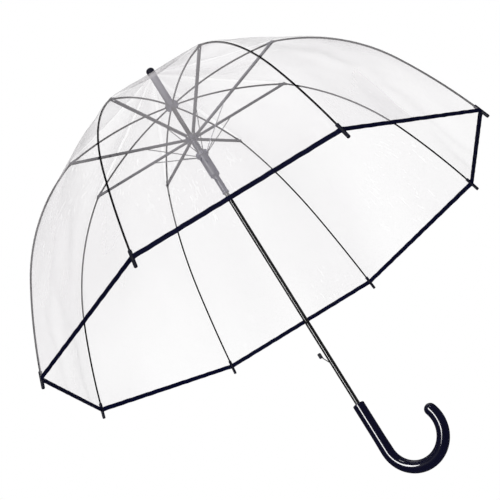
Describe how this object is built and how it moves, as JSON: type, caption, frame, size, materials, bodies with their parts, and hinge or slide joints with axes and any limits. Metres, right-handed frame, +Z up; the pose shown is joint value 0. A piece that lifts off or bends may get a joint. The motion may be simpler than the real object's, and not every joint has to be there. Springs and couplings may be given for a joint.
{
  "type": "clear dome umbrella",
  "caption": "Clear deep-dome umbrella on a straight slim shaft with a crook handle, a dark taped hem, folding ribs with stretchers, and a sprung double runner with a release catch.",
  "frame": {"origin": "middle of the straight grip, on the shaft's axis", "axes": "+Z up the shaft to the ferrule cap, +X towards the side that the crook bends to, which is also the direction of rib 1"},
  "size_m": [0.8536, 0.8536, 0.847],
  "materials": {
    "clear_film": "clear flexible vinyl film with a soft gloss",
    "hem_tape": "navy woven tape with a satin sheen",
    "navy_lacquer": "gloss navy moulding",
    "black_steel": "gloss black plated tube",
    "rib_steel": "satin black rod",
    "grey_plastic": "grey-lilac moulded plastic",
    "grey_steel": "grey coated folded steel",
    "bright_steel": "bright spring wire",
    "navy_tip": "navy moulded tip"
  },
  "bodies": {
    "shaft": {"shaft_tube": "black_steel", "handle": "navy_lacquer", "ferrule_cap": "navy_tip", "top_notch": "grey_plastic", "notch_wire": "bright_steel", "canopy": "clear_film", "hem_binding": "hem_tape"},
    "upper_rib_1": {"upper_rib_1": "rib_steel", "rib_joint_1": "grey_steel"},
    "lower_rib_1": {"lower_rib_1": "rib_steel", "rib_tip_1": "navy_tip"},
    "stretcher_1": {"stretcher_1": "grey_steel"},
    "push_rod_1": {"push_rod_1": "bright_steel"},
    "upper_rib_2": {"upper_rib_2": "rib_steel", "rib_joint_2": "grey_steel"},
    "lower_rib_2": {"lower_rib_2": "rib_steel", "rib_tip_2": "navy_tip"},
    "stretcher_2": {"stretcher_2": "grey_steel"},
    "push_rod_2": {"push_rod_2": "bright_steel"},
    "upper_rib_3": {"upper_rib_3": "rib_steel", "rib_joint_3": "grey_steel"},
    "lower_rib_3": {"lower_rib_3": "rib_steel", "rib_tip_3": "navy_tip"},
    "stretcher_3": {"stretcher_3": "grey_steel"},
    "push_rod_3": {"push_rod_3": "bright_steel"},
    "upper_rib_4": {"upper_rib_4": "rib_steel", "rib_joint_4": "grey_steel"},
    "lower_rib_4": {"lower_rib_4": "rib_steel", "rib_tip_4": "navy_tip"},
    "stretcher_4": {"stretcher_4": "grey_steel"},
    "push_rod_4": {"push_rod_4": "bright_steel"},
    "upper_rib_5": {"upper_rib_5": "rib_steel", "rib_joint_5": "grey_steel"},
    "lower_rib_5": {"lower_rib_5": "rib_steel", "rib_tip_5": "navy_tip"},
    "stretcher_5": {"stretcher_5": "grey_steel"},
    "push_rod_5": {"push_rod_5": "bright_steel"},
    "upper_rib_6": {"upper_rib_6": "rib_steel", "rib_joint_6": "grey_steel"},
    "lower_rib_6": {"lower_rib_6": "rib_steel", "rib_tip_6": "navy_tip"},
    "stretcher_6": {"stretcher_6": "grey_steel"},
    "push_rod_6": {"push_rod_6": "bright_steel"},
    "upper_rib_7": {"upper_rib_7": "rib_steel", "rib_joint_7": "grey_steel"},
    "lower_rib_7": {"lower_rib_7": "rib_steel", "rib_tip_7": "navy_tip"},
    "stretcher_7": {"stretcher_7": "grey_steel"},
    "push_rod_7": {"push_rod_7": "bright_steel"},
    "upper_rib_8": {"upper_rib_8": "rib_steel", "rib_joint_8": "grey_steel"},
    "lower_rib_8": {"lower_rib_8": "rib_steel", "rib_tip_8": "navy_tip"},
    "stretcher_8": {"stretcher_8": "grey_steel"},
    "push_rod_8": {"push_rod_8": "bright_steel"},
    "runner": {"main_runner": "grey_plastic", "runner_wire": "bright_steel", "opening_spring": "bright_steel"},
    "spring_runner": {"spring_runner": "grey_plastic"},
    "release_catch": {"release_catch": "black_steel"}
  },
  "joints": [
    {"name": "rib_1_fold", "type": "hinge", "parent": "shaft", "child": "upper_rib_1", "pos_m": [0.01, 0, 0.659], "axis": [0, 1, 0], "range_deg": [0, 73.5], "stiffness_Nm_per_rad": 1, "springref_deg": -85.94, "deforming": ["canopy", "hem_binding"]},
    {"name": "rib_1_flex", "type": "hinge", "parent": "upper_rib_1", "child": "lower_rib_1", "pos_m": [0.2136, 0, 0.622], "axis": [0, 1, 0], "range_deg": [-43.01, 0]},
    {"name": "stretcher_1_swing", "type": "hinge", "parent": "upper_rib_1", "child": "stretcher_1", "pos_m": [0.2136, 0, 0.622], "axis": [0, 1, 0], "range_deg": [-147, 0]},
    {"name": "push_rod_1_swing", "type": "hinge", "parent": "stretcher_1", "child": "push_rod_1", "pos_m": [0.08773, 0, 0.59913], "axis": [0, 1, 0], "range_deg": [0, 21.48]},
    {"name": "rib_2_fold", "type": "hinge", "parent": "shaft", "child": "upper_rib_2", "pos_m": [0.00707, 0.00707, 0.659], "axis": [-0.7071, 0.7071, 0], "range_deg": [0, 73.5]},
    {"name": "rib_2_flex", "type": "hinge", "parent": "upper_rib_2", "child": "lower_rib_2", "pos_m": [0.15104, 0.15104, 0.622], "axis": [-0.7071, 0.7071, 0], "range_deg": [-43.01, 0]},
    {"name": "stretcher_2_swing", "type": "hinge", "parent": "upper_rib_2", "child": "stretcher_2", "pos_m": [0.15104, 0.15104, 0.622], "axis": [-0.7071, 0.7071, 0], "range_deg": [-147, 0]},
    {"name": "push_rod_2_swing", "type": "hinge", "parent": "stretcher_2", "child": "push_rod_2", "pos_m": [0.06203, 0.06203, 0.59913], "axis": [-0.7071, 0.7071, 0], "range_deg": [0, 21.48]},
    {"name": "rib_3_fold", "type": "hinge", "parent": "shaft", "child": "upper_rib_3", "pos_m": [0, 0.01, 0.659], "axis": [-1, 0, 0], "range_deg": [0, 73.5]},
    {"name": "rib_3_flex", "type": "hinge", "parent": "upper_rib_3", "child": "lower_rib_3", "pos_m": [0, 0.2136, 0.622], "axis": [-1, 0, 0], "range_deg": [-43.01, 0]},
    {"name": "stretcher_3_swing", "type": "hinge", "parent": "upper_rib_3", "child": "stretcher_3", "pos_m": [0, 0.2136, 0.622], "axis": [-1, 0, 0], "range_deg": [-147, 0]},
    {"name": "push_rod_3_swing", "type": "hinge", "parent": "stretcher_3", "child": "push_rod_3", "pos_m": [0, 0.08773, 0.59913], "axis": [-1, 0, 0], "range_deg": [0, 21.48]},
    {"name": "rib_4_fold", "type": "hinge", "parent": "shaft", "child": "upper_rib_4", "pos_m": [-0.00707, 0.00707, 0.659], "axis": [-0.7071, -0.7071, 0], "range_deg": [0, 73.5]},
    {"name": "rib_4_flex", "type": "hinge", "parent": "upper_rib_4", "child": "lower_rib_4", "pos_m": [-0.15104, 0.15104, 0.622], "axis": [-0.7071, -0.7071, 0], "range_deg": [-43.01, 0]},
    {"name": "stretcher_4_swing", "type": "hinge", "parent": "upper_rib_4", "child": "stretcher_4", "pos_m": [-0.15104, 0.15104, 0.622], "axis": [-0.7071, -0.7071, 0], "range_deg": [-147, 0]},
    {"name": "push_rod_4_swing", "type": "hinge", "parent": "stretcher_4", "child": "push_rod_4", "pos_m": [-0.06203, 0.06203, 0.59913], "axis": [-0.7071, -0.7071, 0], "range_deg": [0, 21.48]},
    {"name": "rib_5_fold", "type": "hinge", "parent": "shaft", "child": "upper_rib_5", "pos_m": [-0.01, 0, 0.659], "axis": [0, -1, 0], "range_deg": [0, 73.5]},
    {"name": "rib_5_flex", "type": "hinge", "parent": "upper_rib_5", "child": "lower_rib_5", "pos_m": [-0.2136, 0, 0.622], "axis": [0, -1, 0], "range_deg": [-43.01, 0]},
    {"name": "stretcher_5_swing", "type": "hinge", "parent": "upper_rib_5", "child": "stretcher_5", "pos_m": [-0.2136, 0, 0.622], "axis": [0, -1, 0], "range_deg": [-147, 0]},
    {"name": "push_rod_5_swing", "type": "hinge", "parent": "stretcher_5", "child": "push_rod_5", "pos_m": [-0.08773, 0, 0.59913], "axis": [0, -1, 0], "range_deg": [0, 21.48]},
    {"name": "rib_6_fold", "type": "hinge", "parent": "shaft", "child": "upper_rib_6", "pos_m": [-0.00707, -0.00707, 0.659], "axis": [0.7071, -0.7071, 0], "range_deg": [0, 73.5]},
    {"name": "rib_6_flex", "type": "hinge", "parent": "upper_rib_6", "child": "lower_rib_6", "pos_m": [-0.15104, -0.15104, 0.622], "axis": [0.7071, -0.7071, 0], "range_deg": [-43.01, 0]},
    {"name": "stretcher_6_swing", "type": "hinge", "parent": "upper_rib_6", "child": "stretcher_6", "pos_m": [-0.15104, -0.15104, 0.622], "axis": [0.7071, -0.7071, 0], "range_deg": [-147, 0]},
    {"name": "push_rod_6_swing", "type": "hinge", "parent": "stretcher_6", "child": "push_rod_6", "pos_m": [-0.06203, -0.06203, 0.59913], "axis": [0.7071, -0.7071, 0], "range_deg": [0, 21.48]},
    {"name": "rib_7_fold", "type": "hinge", "parent": "shaft", "child": "upper_rib_7", "pos_m": [0, -0.01, 0.659], "axis": [1, 0, 0], "range_deg": [0, 73.5]},
    {"name": "rib_7_flex", "type": "hinge", "parent": "upper_rib_7", "child": "lower_rib_7", "pos_m": [0, -0.2136, 0.622], "axis": [1, 0, 0], "range_deg": [-43.01, 0]},
    {"name": "stretcher_7_swing", "type": "hinge", "parent": "upper_rib_7", "child": "stretcher_7", "pos_m": [0, -0.2136, 0.622], "axis": [1, 0, 0], "range_deg": [-147, 0]},
    {"name": "push_rod_7_swing", "type": "hinge", "parent": "stretcher_7", "child": "push_rod_7", "pos_m": [0, -0.08773, 0.59913], "axis": [1, 0, 0], "range_deg": [0, 21.48]},
    {"name": "rib_8_fold", "type": "hinge", "parent": "shaft", "child": "upper_rib_8", "pos_m": [0.00707, -0.00707, 0.659], "axis": [0.7071, 0.7071, 0], "range_deg": [0, 73.5]},
    {"name": "rib_8_flex", "type": "hinge", "parent": "upper_rib_8", "child": "lower_rib_8", "pos_m": [0.15104, -0.15104, 0.622], "axis": [0.7071, 0.7071, 0], "range_deg": [-43.01, 0]},
    {"name": "stretcher_8_swing", "type": "hinge", "parent": "upper_rib_8", "child": "stretcher_8", "pos_m": [0.15104, -0.15104, 0.622], "axis": [0.7071, 0.7071, 0], "range_deg": [-147, 0]},
    {"name": "push_rod_8_swing", "type": "hinge", "parent": "stretcher_8", "child": "push_rod_8", "pos_m": [0.06203, -0.06203, 0.59913], "axis": [0.7071, 0.7071, 0], "range_deg": [0, 21.48]},
    {"name": "runner_carry", "type": "hinge", "parent": "stretcher_1", "child": "runner", "pos_m": [0.01, 0, 0.585], "axis": [0, 1, 0], "range_deg": [0, 73.5]},
    {"name": "spring_runner_slide", "type": "slide", "parent": "runner", "child": "spring_runner", "axis": [0, 0, 1], "range_m": [0, 0.02291], "deforming": ["opening_spring"]},
    {"name": "release_press", "type": "hinge", "parent": "shaft", "child": "release_catch", "pos_m": [0, 0, 0.114], "axis": [0, 1, 0], "range_deg": [0, 6], "stiffness_Nm_per_rad": 0.5, "springref_deg": -2.86}
  ],
  "couplings": [
    {"joint": "rib_1_flex", "follows": "rib_1_fold", "ratio": -0.585},
    {"joint": "stretcher_1_swing", "follows": "rib_1_fold", "ratio": -2},
    {"joint": "push_rod_1_swing", "follows": "rib_1_fold", "ratio": 0.29207},
    {"joint": "rib_2_fold", "follows": "rib_1_fold", "ratio": 1},
    {"joint": "rib_2_flex", "follows": "rib_1_fold", "ratio": -0.585},
    {"joint": "stretcher_2_swing", "follows": "rib_1_fold", "ratio": -2},
    {"joint": "push_rod_2_swing", "follows": "rib_1_fold", "ratio": 0.29207},
    {"joint": "rib_3_fold", "follows": "rib_1_fold", "ratio": 1},
    {"joint": "rib_3_flex", "follows": "rib_1_fold", "ratio": -0.585},
    {"joint": "stretcher_3_swing", "follows": "rib_1_fold", "ratio": -2},
    {"joint": "push_rod_3_swing", "follows": "rib_1_fold", "ratio": 0.29207},
    {"joint": "rib_4_fold", "follows": "rib_1_fold", "ratio": 1},
    {"joint": "rib_4_flex", "follows": "rib_1_fold", "ratio": -0.585},
    {"joint": "stretcher_4_swing", "follows": "rib_1_fold", "ratio": -2},
    {"joint": "push_rod_4_swing", "follows": "rib_1_fold", "ratio": 0.29207},
    {"joint": "rib_5_fold", "follows": "rib_1_fold", "ratio": 1},
    {"joint": "rib_5_flex", "follows": "rib_1_fold", "ratio": -0.585},
    {"joint": "stretcher_5_swing", "follows": "rib_1_fold", "ratio": -2},
    {"joint": "push_rod_5_swing", "follows": "rib_1_fold", "ratio": 0.29207},
    {"joint": "rib_6_fold", "follows": "rib_1_fold", "ratio": 1},
    {"joint": "rib_6_flex", "follows": "rib_1_fold", "ratio": -0.585},
    {"joint": "stretcher_6_swing", "follows": "rib_1_fold", "ratio": -2},
    {"joint": "push_rod_6_swing", "follows": "rib_1_fold", "ratio": 0.29207},
    {"joint": "rib_7_fold", "follows": "rib_1_fold", "ratio": 1},
    {"joint": "rib_7_flex", "follows": "rib_1_fold", "ratio": -0.585},
    {"joint": "stretcher_7_swing", "follows": "rib_1_fold", "ratio": -2},
    {"joint": "push_rod_7_swing", "follows": "rib_1_fold", "ratio": 0.29207},
    {"joint": "rib_8_fold", "follows": "rib_1_fold", "ratio": 1},
    {"joint": "rib_8_flex", "follows": "rib_1_fold", "ratio": -0.585},
    {"joint": "stretcher_8_swing", "follows": "rib_1_fold", "ratio": -2},
    {"joint": "push_rod_8_swing", "follows": "rib_1_fold", "ratio": 0.29207},
    {"joint": "runner_carry", "follows": "rib_1_fold", "ratio": 1},
    {"joint": "spring_runner_slide", "follows": "rib_1_fold", "m_per_rad": 0.017848}
  ]
}
